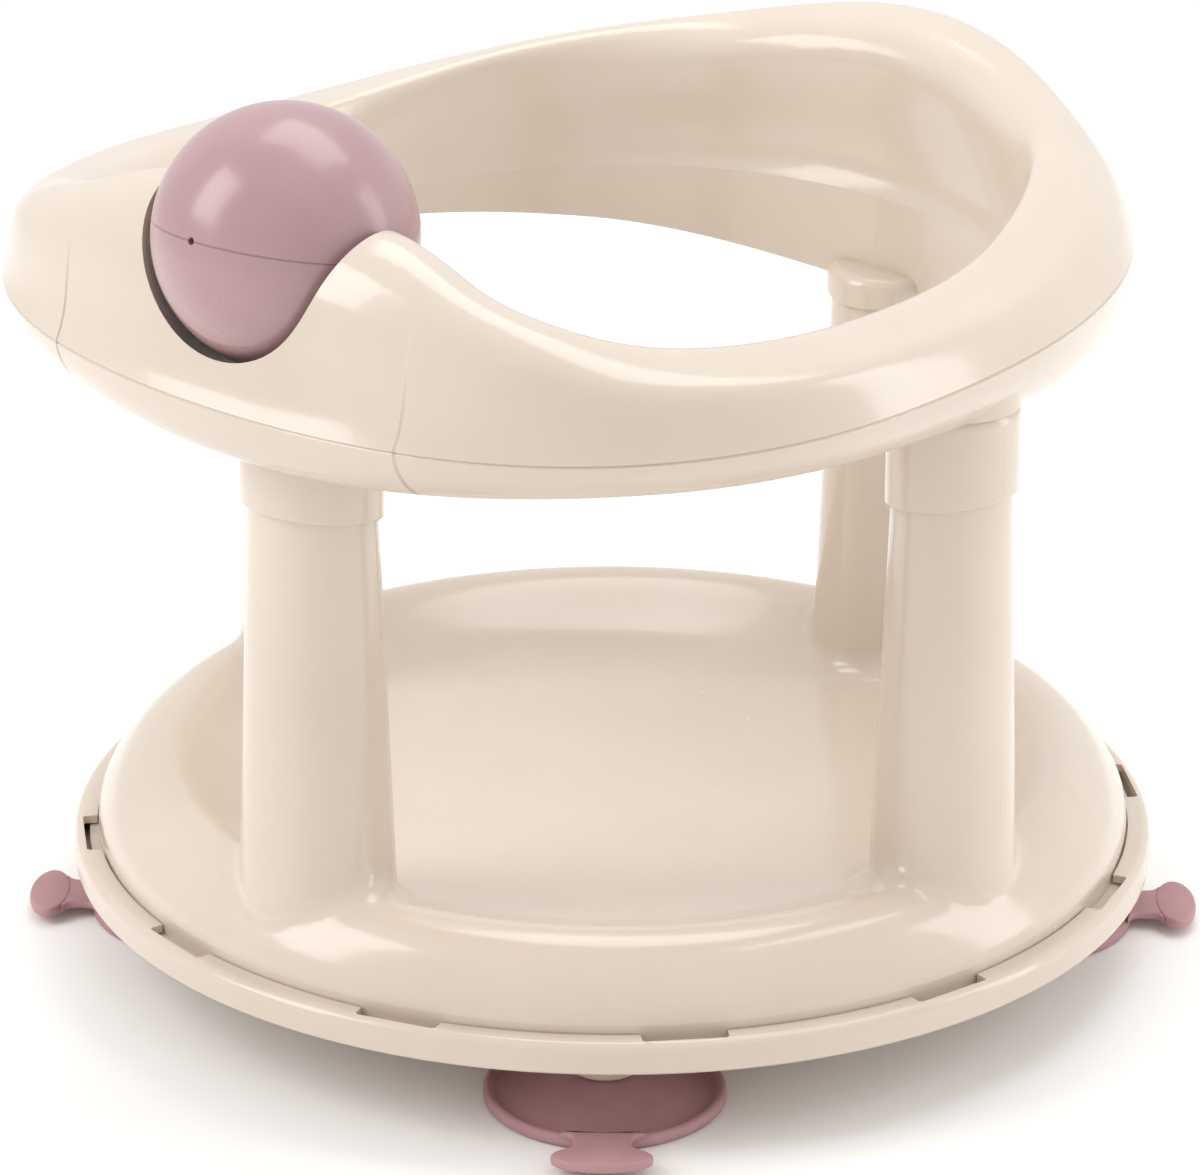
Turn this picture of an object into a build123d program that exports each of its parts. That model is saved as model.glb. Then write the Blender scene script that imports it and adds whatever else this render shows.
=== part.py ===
from build123d import *
import math
import os

# Swivel bath seat for a baby: a round tray on four suction cups, a one-piece
# seat shell with four hollow posts that turns on the tray, a hollow two-part
# ring on top of the posts, and a toy ball that spins on an axle at the front.
# Everything is modelled about the swivel axis, with the floor at Z = 0 and the
# ball towards -Y, and is then moved so that the middle of the outline on the
# floor is the origin.

# Tray
RIM_R = 165.0            # outer radius of the tray's rim
RIM_Z = 26.0             # underside of the tray above the floor
RIM_H = 9.5              # height of the rim band
RIM_WALL = 2.7           # thickness of the rim's outer wall
RIM_ROUND = 3.0          # rounding of the rim's upper edge
LEDGE_T = 2.5            # thickness of the ledge that holds the seat down
LEDGE_W = 7.0            # width of the ledge on top of the rim
FLOOR_T = 2.5            # thickness of the tray's floor
SLOT_COUNT = 12          # snap windows round the ledge
SLOT_L = 25.0            # length of a snap window along the rim
SLOT_W = 4.0             # width of a snap window across the ledge
SLOT_CORNER = 1.2
SLOT_TURN = 23.4         # angle of the first window on the tray
TRAY_TURN = -4.36        # how far the tray is turned under the seat
HUB_R = 14.0             # pivot hub on the tray
HUB_H = 7.5              # height of the hub above the tray's floor
HUB_WALL = 3.0
RAIL_R = 96.0            # glide rail that carries the seat's pan
RAIL_W = 3.0
RAIL_H = 2.5
TRAY_RIB_T = 2.0         # ribs under the tray's floor
TRAY_RIB_H = 6.0

# Suction cups
CUP_CENTRE_R = 125.2     # distance of each cup from the swivel axis
CUP_R = 35.5             # radius of the cup's lip on the floor
CUP_T = 2.0              # thickness of the cup's skin
CUP_BEAD = 1.6           # how far the bead stands above the dish
CUP_BEAD_W = 3.0
CUP_LIP_W = 2.4          # width of the flat lip that rests on the floor
CUP_RISE = 7.0           # how far the dish rises to its neck
CUP_NECK_R = 8.0
STEM_R = 5.0             # stem that is pressed into the tray's boss
STEM_L = 9.0             # how far the stem goes into the boss
TAB_R = 174.0            # distance of the pull tab's centre from the axis
TAB_L = 29.2             # length of the tab along the rim
TAB_W = 12.5             # width of the tab outwards
TAB_T = 3.0
TAB_Z = 2.6              # underside of the tab above the floor
TAB_NECK_W = 17.5
TAB_ROUND = 4.0          # hollow rounding where the neck meets tab and lip
BOSS_R = 12.3            # cup boss under the tray
BOSS_ROUND = 1.5
BOSS_DRAFT = 1.6         # how much the boss narrows to its foot
BOSS_GAP = 0.2           # room between the boss and the cup's neck

# Seat shell
SKIRT_GAP = 0.5          # running gap between the seat's skirt and the ledge
SEAT_WALL = 2.6
CREST_R = 138.0          # radius of the top of the rolled rim
CREST_Z = 58.5           # height of the rolled rim
SKIRT_Z = 38.0           # where the skirt starts to lean inwards
PAN_R = 100.0            # radius where the pan's floor begins
PAN_Z = 44.0
PAN_DIP = 3.0            # how much the pan is dished in its middle
BEAD_OUT = 2.8           # how far the seat's snap bead goes under the ledge
BEAD_CLEAR = 0.5
HUB_CLEAR = 0.06         # radial running clearance on the pivot hub
SOCKET_WALL = 3.0
GLIDE_GAP = 0.3          # gap between glide rail and glide rib

# Posts
POST_CIRCLE_R = 129.35   # distance of the posts from the swivel axis
POST_R = 18.0            # radius of a side or rear post at POST_REF_Z
FRONT_POST_R = 19.4      # radius of the front post at POST_REF_Z
POST_REF_Z = 156.0
POST_TAPER = 0.035       # growth of the radius for each millimetre downwards
POST_FOOT_Z = 40.0
FRONT_POST_TOP_Z = 196.0
SIDE_POST_TOP_Z = 198.0
REAR_POST_TOP_Z = 175.0
POST_WALL = 2.6
POST_CAP = 4.0
POST_FILLET = 9.0

# Ring: plan outline, a superellipse on each side of its widest line
RING_HALF_W = 154.0
RING_FRONT = 172.0
RING_BACK = 160.0
RING_WIDEST_Y = -33.0
RING_FRONT_POWER = 2.5
RING_BACK_POWER = 2.15
HOLE_HALF_W = 117.0      # opening for the baby at the inner seam
HOLE_FRONT = 113.0
HOLE_BACK = 122.0
HOLE_WIDEST_Y = -5.0
HOLE_POWER = 2.15
INNER_SEAM_Z = 202.5
# Ring: what changes round it, as (angle from the front, value)
SEAM_Z = ((0, 214.5), (20, 215.5), (60, 218), (180, 218))
TOP_Z = ((0, 264), (17, 266), (30, 254), (45, 242), (65, 236), (95, 234), (125, 241), (150, 247.5), (180, 258))
TOP_INSET = ((0, 33), (18, 33), (33, 22), (60, 30), (100, 31), (140, 30), (180, 20))
SHOULDER = ((0, 0.35), (45, 0.3), (90, 0.5), (180, 0.8))
WALL_LOW = ((0, 0.18), (24, 0.16), (45, 0.1), (90, 0.11), (180, 0.12))
WALL_HIGH = ((0, 0.32), (24, 0.3), (45, 0.24), (90, 0.25), (180, 0.4))
BELLY_Z = ((0, 195), (45, 203), (90, 197), (135, 185), (180, 173))
BELLY_INSET = ((0, 12), (90, 14), (180, 7))
GROOVE = 0.5             # depth of the groove along the outer seam
RING_WALL = 2.5
STATIONS = 31            # sections of each half of the ring
OVERRUN = 12.0           # degrees that a half runs past the middle plane

# Collars that the posts fit into
COLLAR_R = 19.2
FRONT_COLLAR_R = 20.6
COLLAR_Z = 172.0         # lower lip on the post's axis
COLLAR_SLOPE = 0.18      # the lip is lower on the side of the ring's opening
COLLAR_GAP = 0.12        # between a post and its collar
COLLAR_TOP = 4.0         # thickness of the collar's closed top
COLLAR_ROUND = 1.0
COLLAR_CROWN = 3.5       # rounding of the closed top's edge
COLLAR_RUN = 8.0         # how far a collar runs on upwards on its outer side

# Fasteners
SCREW_R = 1.5
SCREW_HEAD_R = 3.0
SCREW_HEAD_H = 2.0
SCREW_GAP = 0.05
SCREW_L = 16.0
SHELL_SCREW_ANGLES = (38.0, 66.0, 114.0, 146.0)
SHELL_BOSS_R = 4.2
SHELL_SEAT_DROP = 4.5    # from the parting line down to the screw's head
POST_SCREW_L = 13.0
POST_BOSS_R = 3.4
POST_BOSS_H = 8.0

# Ball
BALL_R = 37.8
BALL_Y = -138.2
BALL_Z = 256.0
BALL_WALL = 2.2
BALL_GAP = 3.2           # between the ball and its pocket
SEAM_TILT = -12.0        # the ball's seam, turned about the axle
AXLE_R = 3.0
AXLE_CLEAR = 0.08        # radial running clearance of the ball on its axle
BALL_HUB_R = 6.0
AXLE_END = 49.0          # half the length of the axle
AXLE_SEAT_GAP = 0.05     # between the axle and its saddles
SADDLE_W = 13.0          # saddle block under each horn
SADDLE_DEPTH = 11.0      # from the axle down to the saddle's foot
KEEPER_T = 2.2
KEEPER_GAP = 0.2
KEEPER_SCREW_Y = 4.6
KEEPER_SCREW_L = 8.0
KEEPER_SCREW_R = 1.1
VENT_R = 1.1             # small hole on the ball's seam

# Worked out from the sizes above
RIM_TOP = RIM_Z + RIM_H
LEDGE_R = RIM_R - LEDGE_W
SKIRT_R = LEDGE_R - SKIRT_GAP
TRAY_FLOOR_TOP = RIM_Z + FLOOR_T
SWIVEL_Y = (BALL_R - BALL_Y - RIM_R) / 2
POSTS = (
    ("front", -90.0, FRONT_POST_R, FRONT_COLLAR_R, FRONT_POST_TOP_Z),
    ("right", 0.0, POST_R, COLLAR_R, SIDE_POST_TOP_Z),
    ("rear", 90.0, POST_R, COLLAR_R, REAR_POST_TOP_Z),
    ("left", 180.0, POST_R, COLLAR_R, SIDE_POST_TOP_Z),
)
CUPS = (
    ("front_right", -45.0),
    ("rear_right", 45.0),
    ("rear_left", 135.0),
    ("front_left", 225.0),
)


def polar(radius, angle, z=0.0):
    """Point at a radius and an angle from +X, in degrees."""
    a = math.radians(angle)
    return Vector(radius * math.cos(a), radius * math.sin(a), z)


def revolved(points):
    """Solid of revolution about Z of a closed outline of (radius, z)."""
    outline = Wire.make_polygon([Vector(r, 0, z) for r, z in points])
    return Solid.revolve(Face(outline), 360, Axis.Z)


def tube(outer, inner, low, high):
    """Upright ring between two radii."""
    return revolved([(inner, low), (outer, low), (outer, high), (inner, high)])


def rod(radius, low, high):
    """Upright cylinder on the Z axis."""
    return Pos(0, 0, low) * Cylinder(radius, high - low, align=(Align.CENTER, Align.CENTER, Align.MIN))


def cone(low_radius, high_radius, low, high):
    """Upright tapered cylinder on the Z axis."""
    solid = Cone(low_radius, high_radius, high - low, align=(Align.CENTER, Align.CENTER, Align.MIN))
    return Pos(0, 0, low) * solid


# Tray with its rim, snap windows, pivot hub, glide rail and cup bosses
def cup_frame(angle):
    """Place of a cup: its centre, with local X outwards."""
    return Rot(0, 0, angle + TRAY_TURN) * Pos(CUP_CENTRE_R, 0, 0)


def boss_foot_z():
    return CUP_RISE + CUP_T + BOSS_GAP


def make_tray():
    rim_in = RIM_R - RIM_WALL
    rim = revolved([
        (0, RIM_Z), (RIM_R - 0.6, RIM_Z), (RIM_R, RIM_Z + 0.6), (RIM_R, RIM_TOP), (LEDGE_R, RIM_TOP),
        (LEDGE_R, RIM_TOP - LEDGE_T), (rim_in, RIM_TOP - LEDGE_T), (rim_in, TRAY_FLOOR_TOP),
        (0, TRAY_FLOOR_TOP)])
    rim = rim.fillet(RIM_ROUND, [rim.edges().group_by(Axis.Z)[-1].sort_by(SortBy.RADIUS)[-1]])
    tray = rim + rod(HUB_R, RIM_Z, TRAY_FLOOR_TOP + HUB_H)
    tray -= rod(HUB_R - HUB_WALL, RIM_Z - 1, TRAY_FLOOR_TOP + HUB_H - HUB_WALL)
    tray += tube(RAIL_R + RAIL_W / 2, RAIL_R - RAIL_W / 2, RIM_Z + 1, TRAY_FLOOR_TOP + RAIL_H)
    for _, angle in CUPS:
        boss = cone(BOSS_R - BOSS_DRAFT, BOSS_R, boss_foot_z(), RIM_Z + 1)
        boss = boss.fillet(BOSS_ROUND, boss.edges().group_by(Axis.Z)[0])
        stem_hole = rod(STEM_R + BOSS_GAP / 2, boss_foot_z() - 1, boss_foot_z() + STEM_L + BOSS_GAP)
        tray += cup_frame(angle) * boss
        tray -= cup_frame(angle) * stem_hole
    for k in range(SLOT_COUNT):
        turn = TRAY_TURN + SLOT_TURN + 360.0 * k / SLOT_COUNT
        window = extrude(RectangleRounded(2 * SLOT_W, SLOT_L, SLOT_CORNER), 2 * LEDGE_T)
        tray -= Rot(0, 0, turn) * Pos(LEDGE_R, 0, RIM_TOP - 1.5 * LEDGE_T) * window
    return tray


# Suction cup with its stem, bead and pull tab
def make_cup(angle):
    lip = CUP_T + CUP_BEAD
    dish = revolved([
        (0, CUP_RISE), (CUP_NECK_R, CUP_RISE), (CUP_R * 0.6, CUP_RISE * 0.45),
        (CUP_R - CUP_BEAD_W, 0.5), (CUP_R - CUP_LIP_W, 0), (CUP_R - 0.5, 0), (CUP_R, 0.8),
        (CUP_R, lip - 0.7), (CUP_R - 0.8, lip), (CUP_R - CUP_BEAD_W + 0.6, lip),
        (CUP_R - CUP_BEAD_W, lip - 0.6), (CUP_R - CUP_BEAD_W - 0.3, CUP_T + 0.6),
        (CUP_R * 0.6, CUP_RISE * 0.45 + CUP_T), (CUP_NECK_R, CUP_RISE + CUP_T), (0, CUP_RISE + CUP_T)])
    stem = rod(STEM_R, CUP_RISE, boss_foot_z() + STEM_L)
    tab_x = TAB_R - CUP_CENTRE_R
    neck = Pos(tab_x / 2, 0) * Rectangle(tab_x, TAB_NECK_W)
    outline = Circle(CUP_R - 0.3) + neck + Pos(tab_x, 0) * Ellipse(TAB_W / 2, TAB_L / 2)
    corners = [v for v in outline.vertices() if abs(abs(v.Y) - TAB_NECK_W / 2) < 0.01]
    outline = fillet(corners, TAB_ROUND)
    root = Pos(CUP_R - CUP_BEAD_W, 0) * Rectangle(
        TAB_L, 2 * TAB_L, align=(Align.MIN, Align.CENTER))
    tab = extrude(Pos(0, 0, TAB_Z) * (outline & root), TAB_T)
    return cup_frame(angle) * (dish + stem + tab)


# Seat shell: skirt, rolled rim, pan and four posts in one moulding
def seat_curve(drop):
    """Upper line of the seat's section, moved inwards by drop."""
    roll = CREST_R
    points = [
        (SKIRT_R - drop, SKIRT_Z - drop * 0.4),
        (SKIRT_R - 3.8 - drop * 0.9, CREST_Z - 10.5 - drop * 0.5),
        (roll + 8.5 - drop * 0.5, CREST_Z - 3.0 - drop * 0.9),
        (roll, CREST_Z - drop),
        (roll - 12 + drop * 0.3, CREST_Z - 4.0 - drop),
        (PAN_R + 8 + drop * 0.2, PAN_Z + 3.0 - drop),
        (PAN_R - 18, PAN_Z - drop),
        (PAN_R * 0.4, PAN_Z - PAN_DIP * 0.8 - drop),
        (0, PAN_Z - PAN_DIP - drop),
    ]
    return points


def seat_body(drop, foot):
    """Solid under the seat's section line, down to foot."""
    points = [Vector(r, 0, z) for r, z in seat_curve(drop)]
    top = Edge.make_spline(points, tangents=[Vector(0, 0, 1), Vector(-1, 0, 0)], scale=False)
    low_out = Vector(SKIRT_R - drop, 0, foot)
    low_in = Vector(0, 0, foot)
    sides = [
        Edge.make_line(points[-1], low_in),
        Edge.make_line(low_in, low_out),
        Edge.make_line(low_out, points[0]),
    ]
    return Rot(0, 0, 45) * Solid.revolve(Face(Wire([top] + sides)), 360, Axis.Z)


def post_radius(base, z):
    return base * (1 + POST_TAPER / base * (POST_REF_Z - z))


def make_seat():
    bead_low = TRAY_FLOOR_TOP + BEAD_CLEAR
    bead_high = RIM_TOP - LEDGE_T - BEAD_CLEAR
    shell = Part() + seat_body(0, bead_low)
    for _, angle, radius, _, top in POSTS:
        post = cone(post_radius(radius, POST_FOOT_Z), post_radius(radius, top), POST_FOOT_Z, top)
        shell += Rot(0, 0, angle) * Pos(POST_CIRCLE_R, 0, 0) * Rot(0, 0, 180) * post
    curved = shell.edges().filter_by(GeomType.BSPLINE)
    shell = shell.fillet(POST_FILLET, [e for e in curved if e.center().length > CREST_R])
    shell -= seat_body(SEAT_WALL, bead_low - 5)
    for _, angle, radius, _, top in POSTS:
        place = Rot(0, 0, angle) * Pos(POST_CIRCLE_R, 0, 0)
        low = bead_low
        high = top - POST_CAP
        bore = cone(post_radius(radius, low) - POST_WALL, post_radius(radius, high) - POST_WALL, low, high)
        shell -= place * bore
        shell -= place * rod(SCREW_R + SCREW_GAP, high - 1, top + 1)
    shell += tube(SKIRT_R + BEAD_OUT, SKIRT_R - SEAT_WALL, bead_low, bead_high)
    rib_low = TRAY_FLOOR_TOP + RAIL_H + GLIDE_GAP
    shell += tube(RAIL_R + RAIL_W / 2, RAIL_R - RAIL_W / 2, rib_low, PAN_Z - SEAT_WALL / 2)
    bore_r = HUB_R + HUB_CLEAR
    socket_low = TRAY_FLOOR_TOP + GLIDE_GAP
    shell += tube(bore_r + SOCKET_WALL, bore_r, socket_low, PAN_Z - PAN_DIP - SEAT_WALL / 2)
    return shell


# Ring: the angle is measured from the front, so the ball is at 0
def plan_radius(angle, half_w, front, back, widest_y, front_power, back_power):
    """Distance from the swivel axis to a superellipse outline."""
    a = math.radians(angle)
    dx = abs(math.sin(a))
    dy = -math.cos(a)
    low, high = 0.0, 2 * (half_w + front)
    for _ in range(40):
        mid = (low + high) / 2
        y = mid * dy - widest_y
        reach, power = (front + widest_y, front_power) if y < 0 else (back - widest_y, back_power)
        outside = (mid * dx / half_w) ** power + (abs(y) / reach) ** power > 1
        low, high = (low, mid) if outside else (mid, high)
    return low


def outline_radius(angle):
    return plan_radius(angle, RING_HALF_W, RING_FRONT, RING_BACK, RING_WIDEST_Y,
                       RING_FRONT_POWER, RING_BACK_POWER)


def hole_radius(angle):
    return plan_radius(angle, HOLE_HALF_W, HOLE_FRONT, HOLE_BACK, HOLE_WIDEST_Y,
                       HOLE_POWER, HOLE_POWER)


def along(knots, angle):
    """Smooth curve through a few (angle, value) pairs, level at both ends."""
    a = abs((angle + 180) % 360 - 180)
    slopes = [0.0]
    for before, after in zip(knots, knots[2:]):
        slopes.append((after[1] - before[1]) / (after[0] - before[0]))
    slopes.append(0.0)
    k = max(i for i in range(len(knots) - 1) if knots[i][0] <= a)
    (a0, v0), (a1, v1) = knots[k], knots[k + 1]
    step = a1 - a0
    t = (a - a0) / step
    rise = v0 * (1 + 2 * t) * (1 - t) ** 2 + v1 * t * t * (3 - 2 * t)
    return rise + step * (slopes[k] * t * (1 - t) ** 2 - slopes[k + 1] * t * t * (1 - t))


def ring_point(angle, radius, z):
    """Point of the ring, with the angle from the front towards +X."""
    return polar(radius, angle - 90, z)


def upper_section(angle, wall):
    """Section of the upper shell, moved inwards by wall."""
    ro, ri, seam, top = outline_radius(angle), hole_radius(angle), along(SEAM_Z, angle), along(TOP_Z, angle)
    inset = along(TOP_INSET, angle)
    rt = ro - inset
    rise, slope, drop = top - seam, rt - ri, top - INNER_SEAM_Z
    curve = [
        (ro - wall, seam + GROOVE),
        (ro - inset * along(WALL_LOW, angle) - wall, seam + rise * 0.40),
        (ro - inset * along(WALL_HIGH, angle) - wall * 0.9, seam + rise * 0.78 - wall * 0.4),
        (ro - inset * 0.60 - wall * 0.5, seam + rise * 0.965 - wall * 0.85),
        (rt, top - wall),
        (rt - slope * along(SHOULDER, angle) + wall * 0.6, top - drop * 0.12 - wall * 0.7),
        (ri + slope * 0.14 + wall, top - drop * 0.5),
        (ri + wall, INNER_SEAM_Z - (3.0 if wall else 0.0)),
    ]
    points = [ring_point(angle, r, z) for r, z in curve]
    lip = ring_point(angle, ro - wall - GROOVE, seam)
    corners = [points[-1], lip, points[0]]
    if wall:
        corners.insert(1, lip - Vector(0, 0, 3))
    return Wire([Edge.make_spline(points)] + [Edge.make_line(p, q) for p, q in zip(corners, corners[1:])])


def lower_section(angle, wall):
    """Section of the lower shell, moved inwards by wall."""
    ro, ri, seam, belly = outline_radius(angle), hole_radius(angle), along(SEAM_Z, angle), along(BELLY_Z, angle)
    inset = along(BELLY_INSET, angle)
    deep = seam - belly
    curve = [
        (ro - wall, seam - GROOVE),
        (ro - inset * 0.08 - wall, seam - deep * 0.25),
        (ro - inset * 0.27 - wall * 0.9, seam - deep * 0.52),
        (ro - inset * 0.60 - wall * 0.6, seam - deep * 0.80 + wall * 0.7),
        (ro - inset - 3 - wall * 0.1, belly + wall),
    ]
    points = [ring_point(angle, r, z) for r, z in curve]
    over = 3.0 if wall else 0.0
    foot = ring_point(angle, ri + 1.0 + wall, belly + wall)
    inner = ring_point(angle, ri + wall, INNER_SEAM_Z + over)
    lip = ring_point(angle, ro - wall - GROOVE, seam)
    corners = [points[-1], foot, inner, lip, points[0]]
    if wall:
        corners.insert(3, lip + Vector(0, 0, over))
    return Wire([Edge.make_spline(points)] + [Edge.make_line(p, q) for p, q in zip(corners, corners[1:])])


def ring_solid(section, wall):
    """Closed ring through the sections, made as a half and its mirror."""
    span = 180.0 + 2 * OVERRUN
    angles = [-OVERRUN + span * k / (STATIONS - 1) for k in range(STATIONS)]
    half = Solid.make_loft([section(a, wall) for a in angles])
    reach = 2 * RING_FRONT
    side = Box(reach, 2 * reach, 2 * reach, align=(Align.MIN, Align.CENTER, Align.CENTER))
    half = half & side
    return half + mirror(half, Plane.YZ)


def shell_screw_places():
    """Places of the screws that join the ring's shells, on the parting line."""
    places = []
    for side in (1, -1):
        for angle in SHELL_SCREW_ANGLES:
            middle = (outline_radius(angle) + hole_radius(angle)) / 2
            parting_z = (along(SEAM_Z, angle) + INNER_SEAM_Z) / 2
            places.append(Pos(ring_point(side * angle, middle, parting_z)))
    return places


def screw(radius, head_r, head_h, length):
    """Screw with its head below Z = 0 and its shank above."""
    return rod(head_r, -head_h, 0) + rod(radius, 0, length)


def saddle_block():
    """Block under a horn, on the +X side, that carries the axle."""
    low_x = BALL_R + BALL_GAP - 2
    block = Box(AXLE_END + RING_WALL - low_x, SADDLE_W, SADDLE_DEPTH + AXLE_R + RING_WALL,
                align=(Align.MIN, Align.CENTER, Align.MIN))
    return Pos(low_x, BALL_Y, BALL_Z - SADDLE_DEPTH) * block


def make_ring_upper():
    outer = ring_solid(upper_section, 0)
    ring = outer - ring_solid(upper_section, RING_WALL)
    pocket_r = BALL_R + BALL_GAP
    centre = Pos(0, BALL_Y, BALL_Z)
    pocket_wall = outer & (centre * Sphere(pocket_r + RING_WALL))
    ring += pocket_wall
    for place in shell_screw_places():
        boss = place * rod(SHELL_BOSS_R, -SHELL_SEAT_DROP, 2 * SCREW_L)
        ring += boss & outer
        ring -= place * rod(SCREW_R + SCREW_GAP, -SHELL_SEAT_DROP, SCREW_L - SHELL_SEAT_DROP + 1)
    right = saddle_block() & outer
    ring += right + mirror(right, Plane.YZ)
    ring -= centre * Sphere(pocket_r)
    slot_w = 2 * (AXLE_R + AXLE_SEAT_GAP)
    bore = Rot(0, 90, 0) * Cylinder(slot_w / 2, 2 * AXLE_END + 1)
    slot_l = AXLE_END - pocket_r - RING_WALL
    slot = Box(slot_l, slot_w, SADDLE_DEPTH + 8, align=(Align.MAX, Align.CENTER, Align.MAX))
    right_slot = Pos(AXLE_END + 0.5, 0, 0) * slot
    ring -= centre * (bore + right_slot + mirror(right_slot, Plane.YZ))
    for x in (-1, 1):
        for y in (-1, 1):
            hole = rod(KEEPER_SCREW_R + SCREW_GAP, -1, KEEPER_SCREW_L)
            ring -= keeper_screw_place(x, y) * hole
    return ring


def keeper_screw_place(x, y):
    """Foot of a keeper's screw, on the keeper's lower face."""
    mid_x = (BALL_R + BALL_GAP + RING_WALL + AXLE_END) / 2 + 1
    foot = BALL_Z - SADDLE_DEPTH - KEEPER_GAP - KEEPER_T
    return Pos(x * mid_x, BALL_Y + y * KEEPER_SCREW_Y, foot)


def make_keeper(side):
    """Keeper that closes a saddle from below and holds the axle."""
    low_x = BALL_R + BALL_GAP + RING_WALL + KEEPER_GAP + 1
    length = AXLE_END - low_x
    top = BALL_Z - SADDLE_DEPTH - KEEPER_GAP
    plate = Pos(low_x, BALL_Y, top) * Box(
        length, SADDLE_W, KEEPER_T, align=(Align.MIN, Align.CENTER, Align.MAX))
    tongue_h = SADDLE_DEPTH + KEEPER_GAP
    tongue = Pos(low_x, BALL_Y, top) * Box(
        length, 2 * AXLE_R - 2 * KEEPER_GAP, tongue_h, align=(Align.MIN, Align.CENTER, Align.MIN))
    keeper = plate + tongue - Pos(0, BALL_Y, BALL_Z) * Rot(0, 90, 0) * Cylinder(
        AXLE_R + AXLE_SEAT_GAP, 3 * AXLE_END)
    for y in (-1, 1):
        keeper -= keeper_screw_place(1, y) * rod(KEEPER_SCREW_R + SCREW_GAP, -1, KEEPER_T + 1)
    return keeper if side > 0 else mirror(keeper, Plane.YZ)


def collar(radius, top):
    """Collar for a post, with its lip lower on the side of the ring's opening."""
    solid = rod(radius, COLLAR_Z - radius, top)
    foot = Plane(origin=(0, 0, COLLAR_Z), z_dir=(-COLLAR_SLOPE, 0, 1))
    reach = 6 * radius
    solid -= foot * Box(reach, reach, reach, align=(Align.CENTER, Align.CENTER, Align.MAX))
    solid = solid.fillet(COLLAR_CROWN, solid.edges().group_by(Axis.Z)[-1])
    return solid.fillet(COLLAR_ROUND, solid.edges().group_by(Axis.Z)[0])


def make_ring_lower():
    outer = ring_solid(lower_section, 0)
    cavity = ring_solid(lower_section, RING_WALL)
    ring = outer - cavity
    for _, angle, post_r, collar_r, top in POSTS:
        place = Rot(0, 0, angle) * Pos(POST_CIRCLE_R, 0, 0)
        cap = top + COLLAR_GAP + COLLAR_TOP
        side = Box(collar_r, 2 * collar_r, COLLAR_RUN + 1, align=(Align.MIN, Align.CENTER, Align.MIN))
        run = rod(collar_r, cap - 1, cap + COLLAR_RUN) & Pos(collar_r / 4, 0, cap - 1) * side
        boss = rod(POST_BOSS_R, cap - 1, cap + POST_BOSS_H)
        low, high = COLLAR_Z - collar_r, top + COLLAR_GAP
        bore = cone(post_radius(post_r, low) + COLLAR_GAP, post_radius(post_r, high) + COLLAR_GAP, low, high)
        ring += place * run - cavity
        ring += place * (collar(collar_r, cap) + boss)
        ring -= place * bore
        ring -= place * rod(SCREW_R + SCREW_GAP, high - 1, top - POST_CAP + POST_SCREW_L + SCREW_GAP)
    for place in shell_screw_places():
        boss = place * rod(SHELL_BOSS_R, -2 * SCREW_L, SHELL_SEAT_DROP)
        ring += boss & outer
        ring -= place * rod(SCREW_HEAD_R + 4 * SCREW_GAP, -2 * SCREW_L, -SHELL_SEAT_DROP)
        ring -= place * rod(SCREW_R + SCREW_GAP, -SHELL_SEAT_DROP - 1, SHELL_SEAT_DROP)
    return ring


def make_shell_screws():
    return [
        place * Pos(0, 0, -SHELL_SEAT_DROP) * screw(SCREW_R, SCREW_HEAD_R, SCREW_HEAD_H, SCREW_L)
        for place in shell_screw_places()
    ]


def make_post_screws():
    return [
        Rot(0, 0, angle) * Pos(POST_CIRCLE_R, 0, top - POST_CAP)
        * screw(SCREW_R, SCREW_HEAD_R, SCREW_HEAD_H, POST_SCREW_L)
        for _, angle, _, _, top in POSTS
    ]


def make_keeper_screws():
    return [
        keeper_screw_place(x, y) * screw(KEEPER_SCREW_R, KEEPER_SCREW_R * 1.9, 1.2, KEEPER_SCREW_L - 0.3)
        for x in (-1, 1) for y in (-1, 1)
    ]


# Ball: two hollow halves that meet on a plane through the axle
def make_ball_half(upper):
    shell = Sphere(BALL_R) - Sphere(BALL_R - BALL_WALL)
    hub = Rot(0, 90, 0) * Cylinder(BALL_HUB_R, 2 * BALL_R - 1)
    shell += hub & Sphere(BALL_R)
    shell -= Rot(0, 90, 0) * Cylinder(AXLE_R + AXLE_CLEAR, 2 * BALL_R + 2)
    shell -= Rot(90, 0, 0) * rod(VENT_R, BALL_R - 2 * BALL_WALL, BALL_R + 1)
    align = Align.MIN if upper else Align.MAX
    half = Box(3 * BALL_R, 3 * BALL_R, 3 * BALL_R, align=(Align.CENTER, Align.CENTER, align))
    return Pos(0, BALL_Y, BALL_Z) * Rot(SEAM_TILT, 0, 0) * (shell & half)


def make_axle():
    return Pos(0, BALL_Y, BALL_Z) * Rot(0, 90, 0) * Cylinder(AXLE_R, 2 * AXLE_END)


def write(name, shape):
    """Move a node so that the middle of the outline is the origin, and write it."""
    solids = shape if isinstance(shape, list) else [shape]
    moved = [Pos(0, SWIVEL_Y, 0) * s for solid in solids for s in solid.solids()]
    node = moved[0] if len(moved) == 1 else Compound(children=moved)
    export_step(node, os.path.join("parts", name + ".step"))


def main():
    os.makedirs("parts", exist_ok=True)
    write("base_tray", make_tray())
    for name, angle in CUPS:
        write("suction_cup_" + name, make_cup(angle))
    write("seat_shell", make_seat())
    write("ring_lower_shell", make_ring_lower())
    write("ring_upper_shell", make_ring_upper())
    write("ring_shell_screws", make_shell_screws())
    write("post_screws", make_post_screws())
    write("ball_axle", make_axle())
    write("axle_keeper_right", make_keeper(1))
    write("axle_keeper_left", make_keeper(-1))
    write("keeper_screws", make_keeper_screws())
    write("ball_upper_half", make_ball_half(True))
    write("ball_lower_half", make_ball_half(False))


main()
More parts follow.
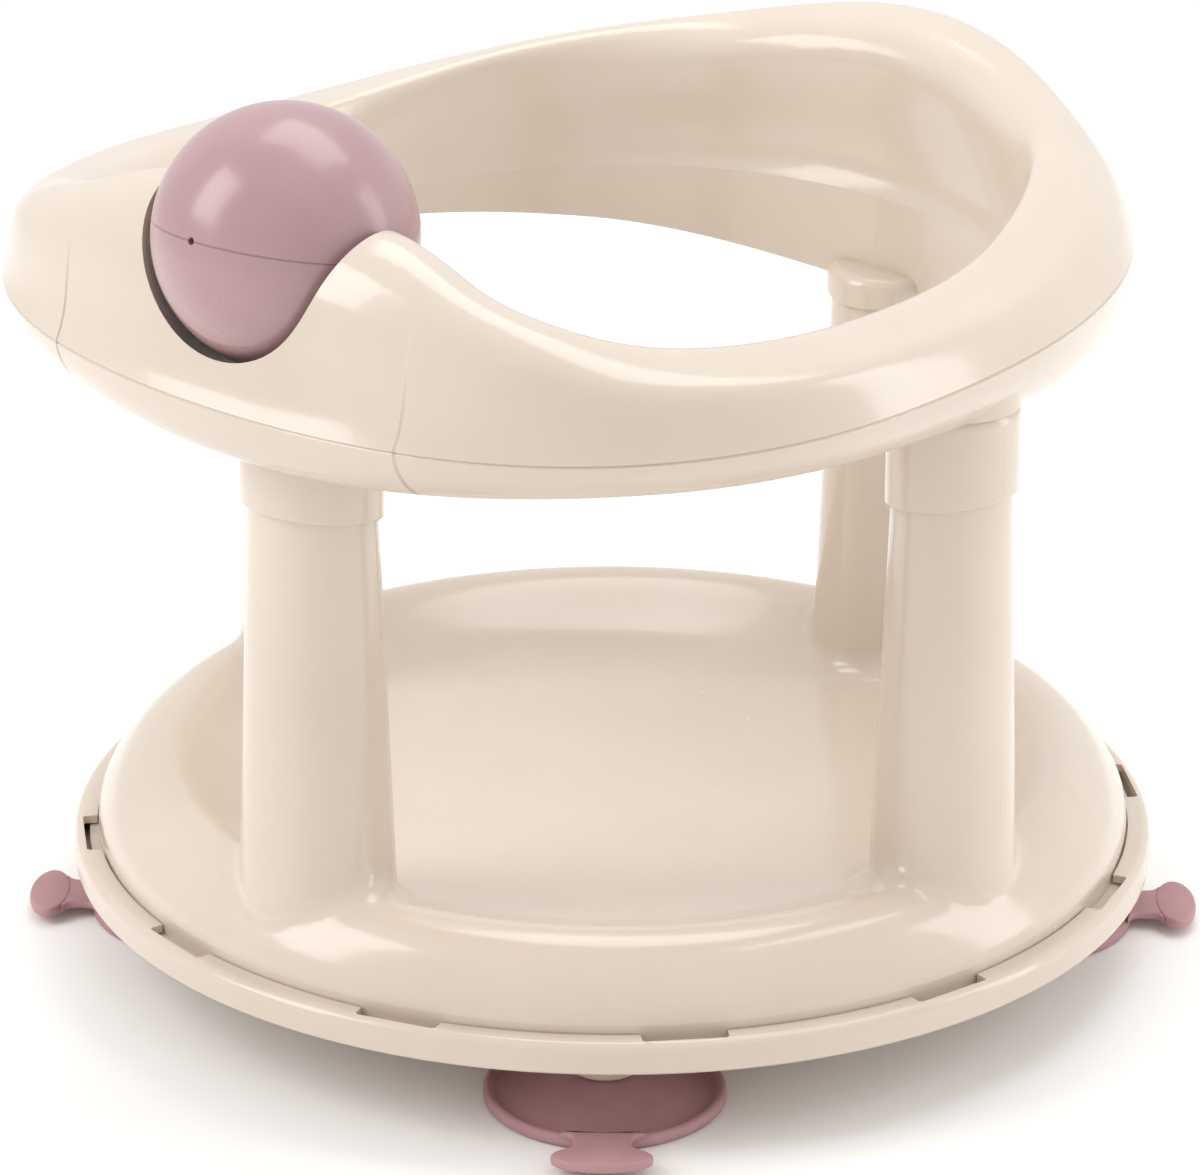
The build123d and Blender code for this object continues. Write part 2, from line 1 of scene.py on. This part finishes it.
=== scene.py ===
# %% [markdown]
# # A swivelling bath seat, dressed for a studio picture
# The seat comes from CAD as a frame of sixteen nodes: a round tray, a seat
# shell with four posts, a hollow ring in two shells, a toy ball and its small
# hardware. They are already in the right place. The work here is the camera,
# the light, the surfaces, and the soft pieces that CAD shows too plainly.
# Lengths are in metres, as everywhere in Blender.

# %% Load the frame
import math

import bmesh
import bpy
from mathutils import Matrix, Vector


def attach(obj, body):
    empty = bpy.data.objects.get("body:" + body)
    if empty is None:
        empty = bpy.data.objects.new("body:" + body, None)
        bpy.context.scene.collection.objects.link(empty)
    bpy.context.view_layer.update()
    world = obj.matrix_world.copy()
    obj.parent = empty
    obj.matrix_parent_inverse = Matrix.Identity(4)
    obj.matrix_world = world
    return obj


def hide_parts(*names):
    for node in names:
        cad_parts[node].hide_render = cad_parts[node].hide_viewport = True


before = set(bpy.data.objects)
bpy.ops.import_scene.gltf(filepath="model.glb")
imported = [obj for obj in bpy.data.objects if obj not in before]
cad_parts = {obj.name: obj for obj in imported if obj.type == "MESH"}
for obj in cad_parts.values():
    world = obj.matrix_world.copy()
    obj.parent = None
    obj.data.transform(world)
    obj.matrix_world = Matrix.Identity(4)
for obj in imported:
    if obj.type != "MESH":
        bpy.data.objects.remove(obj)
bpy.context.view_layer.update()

MM = 0.001

# %% [markdown]
# ## The camera
# A picture can be matched from any viewpoint only if the lens is right too.
# A long lens far away flattens the ellipses of the rim and tray, and a short
# one near by opens them. The values here come from fitting the rim, the posts
# and the cups to the photograph: 42 degrees round to the side, 22 degrees
# above the floor, almost two metres away. A camera looks along its own -Z, so
# its matrix has the directions right, up and back as its columns.

# %% Camera
SWIVEL_Y = 5.5 * MM
side_turn, lift = math.radians(41.65), math.radians(22.24)
right = Vector((math.cos(side_turn), math.sin(side_turn), 0))
back = Vector((math.sin(side_turn) * math.cos(lift), -math.cos(side_turn) * math.cos(lift), math.sin(lift)))
up = back.cross(right)
look = right * -4.04 * MM + Vector((0, SWIVEL_Y, 108.15 * MM))
roll = math.radians(0.16)
tilted_right = right * math.cos(roll) + up * math.sin(roll)
tilted_up = up * math.cos(roll) - right * math.sin(roll)

lens = bpy.data.cameras.new("studio_camera")
lens.sensor_fit = "HORIZONTAL"
lens.angle = 2 * math.atan(600 / 6200)
lens.clip_end = 10
camera = bpy.data.objects.new("studio_camera", lens)
bpy.context.collection.objects.link(camera)
camera.matrix_world = Matrix((tilted_right, tilted_up, back)).transposed().to_4x4()
camera.location = look + back * 1879.18 * MM
bpy.context.scene.camera = camera
print("camera at", [round(v, 3) for v in camera.location])

# %% [markdown]
# ## Soft studio light
# Glossy plastic is drawn by what it reflects. Small lamps would give it hard
# white dots. Large soft boxes give the broad, square-edged highlights of a
# product picture: one high on the left that shows on the ball, one overhead
# that lies along the top of the ring, and a tall one on the right that runs
# down the rim and the posts. A pale world fills the rest.

# %% World and soft boxes
world = bpy.data.worlds.new("studio_world")
world.use_nodes = True
world.node_tree.nodes["Background"].inputs["Color"].default_value = (1.0, 0.99, 0.975, 1)
world.node_tree.nodes["Background"].inputs["Strength"].default_value = 0.88
bpy.context.scene.world = world
bpy.context.scene.view_settings.view_transform = "Standard"


def soft_box(name, way, distance, width, height, watts):
    """Rectangular lamp that faces the seat from a direction given as right, up, back."""
    lamp = bpy.data.lights.new(name, "AREA")
    lamp.shape = "RECTANGLE"
    lamp.size, lamp.size_y = width, height
    lamp.energy = watts
    box = bpy.data.objects.new(name, lamp)
    direction = (right * way[0] + up * way[1] + back * way[2]).normalized()
    box.location = look + direction * distance
    box.rotation_mode = "QUATERNION"
    box.rotation_quaternion = direction.to_track_quat("Z", "Y")
    bpy.context.collection.objects.link(box)
    return box


soft_box("left_box", (-0.78, 0.46, 0.43), 1.3, 0.55, 0.8, 5.5)
soft_box("top_box", (0.15, 0.97, 0.15), 1.3, 1.1, 0.7, 6.5)
soft_box("right_box", (0.93, 0.25, 0.15), 1.2, 0.35, 1.0, 3.2)

# %% [markdown]
# ## The floor
# The photograph shows the seat on plain white with hardly a shadow.

# %% Floor
floor_mesh = bpy.data.meshes.new("floor")
shape = bmesh.new()
bmesh.ops.create_circle(shape, cap_ends=True, segments=64, radius=6)
shape.to_mesh(floor_mesh)
shape.free()
floor = bpy.data.objects.new("floor", floor_mesh)
floor.location.z = -0.0004
bpy.context.collection.objects.link(floor)

# %% [markdown]
# ## Writing shaders as expressions
# A material is a graph of nodes. Placing each node by hand in code hides the
# idea behind the wiring, so one small class wraps an output socket and gives
# it Python's operators. `1 - mask * 0.3` then adds its two Math nodes. All
# other nodes come from one method that takes a type, settings and inputs.

# %% Shader helpers
class Field:
    """Output socket of a material's node, with arithmetic."""

    def __init__(self, finish, socket):
        self.finish, self.socket = finish, socket

    def math(self, operation, first, second=0.0):
        return self.finish.node("ShaderNodeMath", {"operation": operation}, {0: first, 1: second})

    def __add__(self, other):
        return self.math("ADD", self, other)

    def __radd__(self, other):
        return self.math("ADD", other, self)

    def __sub__(self, other):
        return self.math("SUBTRACT", self, other)

    def __rsub__(self, other):
        return self.math("SUBTRACT", other, self)

    def __mul__(self, other):
        return self.math("MULTIPLY", self, other)

    def __rmul__(self, other):
        return self.math("MULTIPLY", other, self)


class Finish:
    """A material under construction."""

    def __init__(self, name):
        self.material = bpy.data.materials.new(name)
        self.material.use_nodes = True
        self.nodes, self.links = self.material.node_tree.nodes, self.material.node_tree.links
        self.shader = self.nodes["Principled BSDF"]
        self.place = self.node("ShaderNodeTexCoord", {}, {}, "Object")

    def feed(self, socket, value):
        if isinstance(value, Field):
            self.links.new(value.socket, socket)
        else:
            socket.default_value = value

    def node(self, kind, settings, inputs, output=0):
        """Adds a node: settings first, then values or links for its sockets."""
        made = self.nodes.new(kind)
        for key, value in settings.items():
            if key == "stops":
                for index, (position, colour) in enumerate(value):
                    stops = made.color_ramp.elements
                    stop = stops[index] if index < len(stops) else stops.new(position)
                    stop.position, stop.color = position, colour
            else:
                setattr(made, key, value)
        for key, value in inputs.items():
            self.feed(made.inputs[key], value)
        return Field(self, made.outputs[output])

    def noise(self, scale, detail=2.0, place=None):
        """Cloudy pattern between 0 and 1, with scale in features per metre."""
        return self.node("ShaderNodeTexNoise", {},
                         {"Vector": place or self.place, "Scale": scale, "Detail": detail, "Roughness": 0.55})

    def stretch(self, x, y, z):
        """Place scaled along the axes, which draws a pattern out into streaks."""
        return self.node("ShaderNodeMapping", {"vector_type": "POINT"}, {"Vector": self.place, "Scale": (x, y, z)})

    def ramp(self, value, low, high):
        """Smooth step from 0 at low to 1 at high."""
        return self.node("ShaderNodeMapRange", {"interpolation_type": "SMOOTHSTEP"},
                         {"Value": value, "From Min": low, "From Max": high}, "Result")

    def mix(self, amount, first, second):
        """Blend of two colours."""
        made = self.nodes.new("ShaderNodeMix")
        made.data_type = "RGBA"
        for socket, value in ((made.inputs["Factor"], amount), (made.inputs[6], first), (made.inputs[7], second)):
            self.feed(socket, value)
        return Field(self, made.outputs[2])

    def axis(self, letter):
        return self.node("ShaderNodeSeparateXYZ", {}, {0: self.place}, letter)

    def relief(self, height, metres, normal=None):
        """Bump that is a known height in metres."""
        inputs = {"Height": height, "Distance": metres, "Strength": 1.0}
        if normal:
            inputs["Normal"] = normal
        return self.node("ShaderNodeBump", {}, inputs, "Normal")

    def set(self, **values):
        """Sets shader sockets by name, with underscores for spaces."""
        for key, value in values.items():
            self.feed(self.shader.inputs[key.replace("_", " ")], value)


def colour(red, green, blue):
    """Colour from the 0 to 255 numbers of a colour picker, made linear."""
    parts = []
    for part in (red, green, blue):
        c = part / 255
        parts.append(c / 12.92 if c <= 0.04045 else ((c + 0.055) / 1.055) ** 2.4)
    return (*parts, 1.0)


print("cream as the renderer sees it:", [round(c, 3) for c in colour(232, 222, 208)])

# %% [markdown]
# ## Cream plastic
# The body is moulded in glossy plastic. At first sight it is one colour, but
# three things make it read as a real moulding. The melt cools unevenly, which
# leaves a very fine ripple known as orange peel, so the edges of reflections
# waver. Handling leaves fine scuffs that dull the gloss in patches. And the
# pigment is never quite even. All three are noise at different scales. The
# ripple goes to the bump, the scuffs to the roughness, the rest to the colour.

# %% Cream finish
def cream_finish(name, panel=False):
    finish = Finish(name)
    clouds = finish.noise(14, 3)
    grain = finish.noise(900, 1)
    warm = finish.mix(finish.ramp(clouds, 0.3, 0.72), colour(213, 200, 186), colour(209, 195, 180))
    speck = finish.ramp(finish.noise(420, 2), 0.7, 0.78)
    base = finish.mix(speck * 0.04, warm, colour(196, 178, 160))
    streaks = finish.noise(160, 3, finish.stretch(1, 1, 0.12))
    patches = finish.ramp(finish.noise(22, 4), 0.42, 0.75)
    scuff = finish.ramp(streaks, 0.58, 0.7) * patches
    ripple = finish.relief(finish.noise(190, 1), 0.00004)
    normal = finish.relief(grain, 0.000006, ripple)
    if panel:
        beyond = finish.ramp(finish.node("ShaderNodeMath", {"operation": "ABSOLUTE"}, {0: finish.axis("X")}),
                             0.0652, 0.0668)
        in_front = finish.ramp(finish.axis("Y"), -0.10, -0.13)
        low = finish.ramp(finish.axis("Z"), 0.252, 0.222)
        normal = finish.relief(beyond * in_front * low, 0.0012, normal)
    finish.set(Base_Color=base, Roughness=0.2 + scuff * 0.05 + patches * 0.04, Normal=normal,
               Coat_Weight=0.35, Coat_Roughness=0.08, IOR=1.5,
               Subsurface_Weight=0.05, Subsurface_Scale=0.003)
    finish.shader.inputs["Subsurface Radius"].default_value = (1.0, 0.62, 0.4)
    return finish.material


cream = cream_finish("cream_plastic")
cream_ring = cream_finish("cream_ring_plastic", panel=True)
print("nodes in the ring's finish:", len(cream_ring.node_tree.nodes))

# %% [markdown]
# ## Mauve plastic
# The ball is the same kind of moulding in a dusty mauve, polished more highly
# than the body, so its ripple is finer. A light bloom from hands makes patches
# of its gloss softer.

# %% Ball finish
BALL = Vector((0, SWIVEL_Y - 138.2 * MM, 256 * MM))
SEAM_TILT = math.radians(12)


def ball_finish():
    finish = Finish("mauve_plastic")
    clouds = finish.noise(30, 3)
    base = finish.mix(finish.ramp(clouds, 0.3, 0.7), colour(174, 140, 143), colour(168, 133, 137))
    speck = finish.ramp(finish.noise(600, 2), 0.72, 0.8)
    base = finish.mix(speck * 0.06, base, colour(210, 178, 180))
    off_seam = (finish.axis("Y") - BALL.y) * math.sin(SEAM_TILT) + (finish.axis("Z") - BALL.z) * math.cos(SEAM_TILT)
    seam = 1 - finish.ramp(finish.node("ShaderNodeMath", {"operation": "ABSOLUTE"}, {0: off_seam}), 0.0001, 0.00032)
    base = finish.mix(seam * 0.5, base, colour(112, 76, 80))
    bloom = finish.ramp(finish.noise(45, 4), 0.4, 0.7)
    normal = finish.relief(finish.noise(260, 1), 0.00003)
    normal = finish.relief(1 - seam, 0.0002, normal)
    finish.set(Base_Color=base, Roughness=0.24 + bloom * 0.08, Normal=normal,
               Coat_Weight=0.3, Coat_Roughness=0.12)
    return finish.material


mauve = ball_finish()

# %% [markdown]
# ## Soft rubber
# Suction cups are cast in a soft, slightly milky rubber with a satin skin. It
# has a fine grain from its mould. Where it is thick it looks deeper and redder,
# but here its colour only varies in soft clouds, with a few lighter flecks of dust.

# %% Rubber finish
def rubber_finish():
    finish = Finish("satin_rubber")
    clouds = finish.noise(60, 3)
    base = finish.mix(finish.ramp(clouds, 0.3, 0.7), colour(182, 141, 145), colour(174, 132, 137))
    dust = finish.ramp(finish.noise(500, 3), 0.62, 0.75)
    base = finish.mix(dust * 0.15, base, colour(210, 174, 177))
    grain = finish.relief(finish.noise(1500, 2), 0.00004)
    finish.set(Base_Color=base, Roughness=0.46 + finish.noise(90, 3) * 0.14, Normal=grain,
               Specular_IOR_Level=0.4)
    return finish.material


rubber = rubber_finish()

# %% [markdown]
# ## Screw steel
# The screws are stainless steel, brushed by turning. They hide under the ring
# and only show from below, but a metal with one flat roughness looks like grey
# paint, so fine streaks vary both its gloss and its tone.

# %% Steel finish
def steel_finish():
    finish = Finish("turned_steel")
    streaks = finish.noise(2600, 2, finish.stretch(1, 1, 0.1))
    base = finish.mix(streaks, colour(150, 148, 145), colour(196, 194, 190))
    finish.set(Base_Color=base, Roughness=0.22 + streaks * 0.2, Metallic=1.0,
               Normal=finish.relief(streaks, 0.00001))
    return finish.material


steel = steel_finish()


def floor_finish():
    finish = Finish("pale_floor")
    base = finish.mix(finish.noise(3, 2), colour(253, 252, 251), colour(250, 249, 248))
    finish.set(Base_Color=base, Roughness=0.9)
    return finish.material


floor.data.materials.append(floor_finish())

# %% [markdown]
# ## Suction cups
# CAD draws a cup with straight slopes and square edges. A real one is cast:
# a thin dish that rises to its neck in one sweep, with a fat round bead on its
# lip so that it doesn't tear, and a flat tab to pull it off by. A lathe shape
# is the natural way to make the dish. Its outline is drawn once, as half a
# section, and spin turns it about the middle. The tab is a flattened disc with
# its edges bevelled, and its neck is a strip that flares at both ends.

# %% Dish of a suction cup
CUP_R = 35.5 * MM
TAB_OUT = 48.8 * MM
cup_shape = bmesh.new()
half_section = [
    (0, 7.0), (8, 6.8), (15, 5.2), (21.5, 3.2), (28, 1.5), (32.0, 0.6), (33.2, 0), (34.9, 0), (35.4, 0.5),
    (35.5, 1.6), (35.4, 2.7), (34.9, 3.4), (34.1, 3.7), (33.2, 3.5), (32.6, 2.9), (32.3, 2.2), (31.2, 2.1),
    (27, 2.9), (21.5, 4.5), (15, 6.9), (10.5, 8.5), (8, 9.0), (5.4, 9.1), (4.95, 9.6), (4.95, 17.6), (4.4, 18.1), (0, 18.1),
]
points = [cup_shape.verts.new((r * MM, 0, z * MM)) for r, z in half_section]
outline = [cup_shape.edges.new(pair) for pair in zip(points, points[1:])]
bmesh.ops.spin(cup_shape, geom=points + outline, cent=(0, 0, 0), axis=(0, 0, 1),
               angle=math.tau, steps=96, use_merge=True)
bmesh.ops.remove_doubles(cup_shape, verts=cup_shape.verts, dist=0.01 * MM)
bmesh.ops.recalc_face_normals(cup_shape, faces=cup_shape.faces)
print("dish faces:", len(cup_shape.faces))

# %% Pull tab and its neck
disc = bmesh.ops.create_circle(cup_shape, cap_ends=True, segments=48, radius=1)["verts"]
bmesh.ops.scale(cup_shape, vec=(6.25 * MM, 14.6 * MM, 1), verts=disc)
bmesh.ops.translate(cup_shape, vec=(TAB_OUT, 0, 2.5 * MM), verts=disc)
strip = bmesh.ops.create_grid(cup_shape, x_segments=14, y_segments=2, size=1)["verts"]
for vertex in strip:
    along = vertex.co.x
    vertex.co = Vector((39.0 + 5.6 * along, vertex.co.y * (8.4 + 4.4 * along ** 4), 2.7)) * MM
for piece, height in ((disc, 3.0 * MM), (strip, 2.5 * MM)):
    flat = list({face for vertex in piece for face in vertex.link_faces})
    lifted = bmesh.ops.extrude_face_region(cup_shape, geom=flat, use_keep_orig=True)["geom"]
    top = [g for g in lifted if isinstance(g, bmesh.types.BMVert)]
    bmesh.ops.translate(cup_shape, vec=(0, 0, height), verts=top)
    rims = [e for v in piece + top for e in v.link_edges
            if len(e.link_faces) == 2 and e.calc_face_angle(0) > 1.2]
    bmesh.ops.bevel(cup_shape, geom=list(set(rims)), offset=0.9 * MM, segments=3, affect="EDGES",
                    profile=0.5, material=-1)
bmesh.ops.recalc_face_normals(cup_shape, faces=cup_shape.faces)
print("cup faces:", len(cup_shape.faces))

# %% Four cups under the tray
CUP_OUT, TRAY_TURN = 125.2 * MM, -4.36
cup_mesh = bpy.data.meshes.new("cup")
cup_shape.to_mesh(cup_mesh)
cup_shape.free()
for corner, turn in (("front_right", -45), ("rear_right", 45), ("rear_left", 135), ("front_left", 225)):
    mesh = cup_mesh.copy()
    spun = Matrix.Rotation(math.radians(turn + TRAY_TURN), 4, "Z") @ Matrix.Translation((CUP_OUT, 0, 0))
    mesh.transform(Matrix.Translation((0, SWIVEL_Y, 0)) @ spun)
    mesh.shade_smooth()
    cup = bpy.data.objects.new("cup_" + corner, mesh)
    bpy.context.collection.objects.link(cup)
    cup.data.materials.append(rubber)
    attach(cup, "tray")
    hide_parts("suction_cup_" + corner)
bpy.data.meshes.remove(cup_mesh)

# %% Give every CAD node its finish
FINISHES = {
    "base_tray": cream, "seat_shell": cream, "ring_lower_shell": cream_ring, "ring_upper_shell": cream_ring,
    "ball_upper_half": mauve, "ball_lower_half": mauve, "ball_axle": cream,
    "axle_keeper_right": cream, "axle_keeper_left": cream,
    "ring_shell_screws": steel, "post_screws": steel, "keeper_screws": steel,
}
for name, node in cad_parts.items():
    material = FINISHES.get(name, rubber)
    if not node.material_slots:
        node.data.materials.append(material)
    for slot in node.material_slots:
        slot.material = material
print("nodes dressed:", len(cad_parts))
